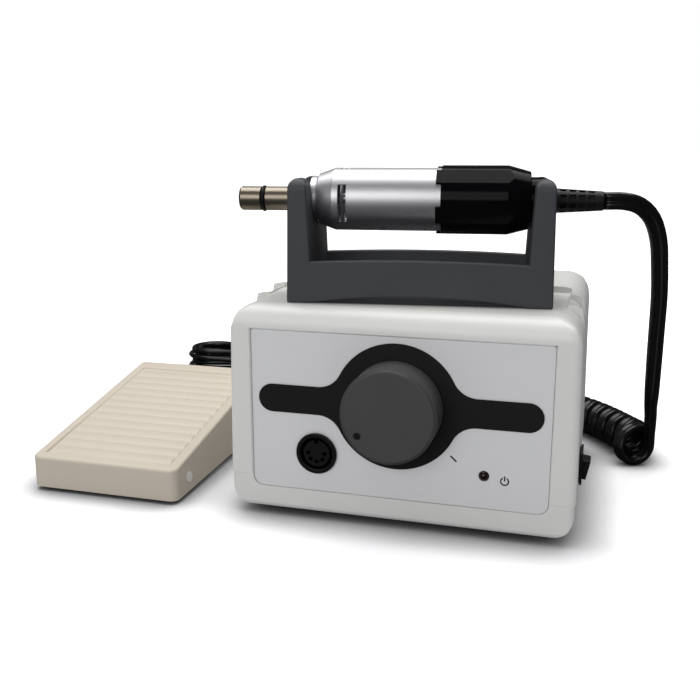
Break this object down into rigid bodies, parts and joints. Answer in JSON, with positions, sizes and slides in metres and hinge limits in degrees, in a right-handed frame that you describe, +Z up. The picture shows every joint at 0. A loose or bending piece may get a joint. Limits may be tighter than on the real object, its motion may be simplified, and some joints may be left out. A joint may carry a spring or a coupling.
{
  "type": "dental micromotor set",
  "caption": "White micromotor control unit with speed knob, a grey rubber cradle holding a straight motor handpiece on a curly cord, and a sloping ribbed foot pedal.",
  "frame": {"origin": "on the floor under the middle of the unit and pedal together, cords left out", "axes": "+X to the right of the unit seen from the front, +Y to the back, +Z up"},
  "size_m": [0.2993, 0.2534, 0.1396],
  "materials": {
    "white_abs": "satin moulded ABS",
    "panel_sheet": "smooth satin sheet",
    "band_film": "printed black film",
    "knob_plastic": "soft satin grey",
    "steel": "bright",
    "zinc_case": "plated",
    "black_plastic": "smooth",
    "contact_brass": "plated",
    "red_lens": "dark clear lens",
    "board_laminate": "solder mask",
    "capacitor_sleeve": "shrink sleeve",
    "aluminium": "satin anodised",
    "core_steel": "stacked sheets",
    "copper": "enamelled",
    "black_rubber": "matt",
    "grey_rubber": "matt dark grey",
    "magnet": "sintered",
    "carbon": "graphite",
    "brush_resin": "phenolic resin",
    "gloss_sleeve": "polished black",
    "cord_rubber": "smooth black jacket",
    "pedal_black": "smooth",
    "ivory_abs": "satin ivory",
    "white_cap": "satin white",
    "red_button": "smooth"
  },
  "bodies": {
    "unit": {"upper_housing": "white_abs", "lower_housing": "white_abs", "front_panel": "panel_sheet", "panel_band": "band_film", "rear_panel": "panel_sheet", "potentiometer": "zinc_case", "pot_nut": "zinc_case", "socket_shell": "black_plastic", "socket_insert": "black_plastic", "socket_contacts": "contact_brass", "power_led": "red_lens", "switch_frame": "black_plastic", "main_board": "board_laminate", "board_capacitors": "capacitor_sleeve", "heat_sink": "aluminium", "transformer_core": "core_steel", "transformer_coil": "copper", "mains_gland": "black_plastic", "fuse_holder": "black_plastic", "fuse_cap": "black_plastic", "pedal_jack": "black_plastic", "rubber_feet": "black_rubber", "housing_screws": "steel", "cradle": "grey_rubber", "curly_cord": "cord_rubber", "cord_tail": "cord_rubber", "cord_plug": "cord_rubber", "plug_contacts": "zinc_case", "pedal_base": "pedal_black", "pivot_pin": "white_cap", "pedal_spring": "steel", "microswitch": "black_plastic", "pedal_feet": "black_rubber", "pedal_gland": "black_rubber", "pedal_cord": "cord_rubber", "cord_hank": "cord_rubber", "hank_tie": "cord_rubber", "pedal_plug": "zinc_case"},
    "knob": {"speed_knob": "knob_plastic", "pot_shaft": "steel"},
    "rocker": {"power_rocker": "black_plastic"},
    "handpiece": {"coupling_spigot": "aluminium", "spigot_oring": "black_rubber", "motor_bearings": "steel", "stator_magnet": "magnet", "carbon_brushes": "carbon", "brush_holder": "brush_resin", "nose_cone": "aluminium", "motor_casing": "aluminium", "rear_sleeve": "gloss_sleeve", "end_cap": "black_plastic", "cord_boot": "black_rubber", "handpiece_cord": "cord_rubber"},
    "spindle": {"drive_dog": "steel", "rotor_shaft": "steel", "rotor_core": "core_steel", "rotor_windings": "copper", "commutator": "copper"},
    "pedal_cover": {"pedal_cover": "ivory_abs"},
    "button": {"switch_button": "red_button"}
  },
  "joints": [
    {"name": "knob_turn", "type": "hinge", "parent": "unit", "child": "knob", "pos_m": [0.04456, -0.06395, 0.0498], "axis": [0, 1, 0], "range_deg": [0, 270]},
    {"name": "rocker_tilt", "type": "hinge", "parent": "unit", "child": "rocker", "pos_m": [0.11106, -0.03595, 0.0267], "axis": [0, -1, 0], "range_deg": [0, 24]},
    {"name": "handpiece_lift", "type": "slide", "parent": "unit", "child": "handpiece", "axis": [0, 0, 1], "range_m": [0, 0.06]},
    {"name": "spindle_spin", "type": "hinge", "parent": "handpiece", "child": "spindle", "pos_m": [0.03517, -0.02255, 0.1262], "axis": [0.9921, 0.1253, 0], "continuous": true},
    {"name": "pedal_press", "type": "hinge", "parent": "unit", "child": "pedal_cover", "pos_m": [-0.08254, -0.04695, 0.0085], "axis": [-1, 0, 0], "range_deg": [0, 2.5], "stiffness_Nm_per_rad": 4, "springref_deg": -5.73, "deforming": ["pedal_spring"]},
    {"name": "button_press", "type": "slide", "parent": "unit", "child": "button", "axis": [0, 0, -1], "range_m": [0, 0.0015]}
  ],
  "couplings": [
    {"joint": "button_press", "follows": "pedal_press", "m_per_rad": 0.032}
  ]
}
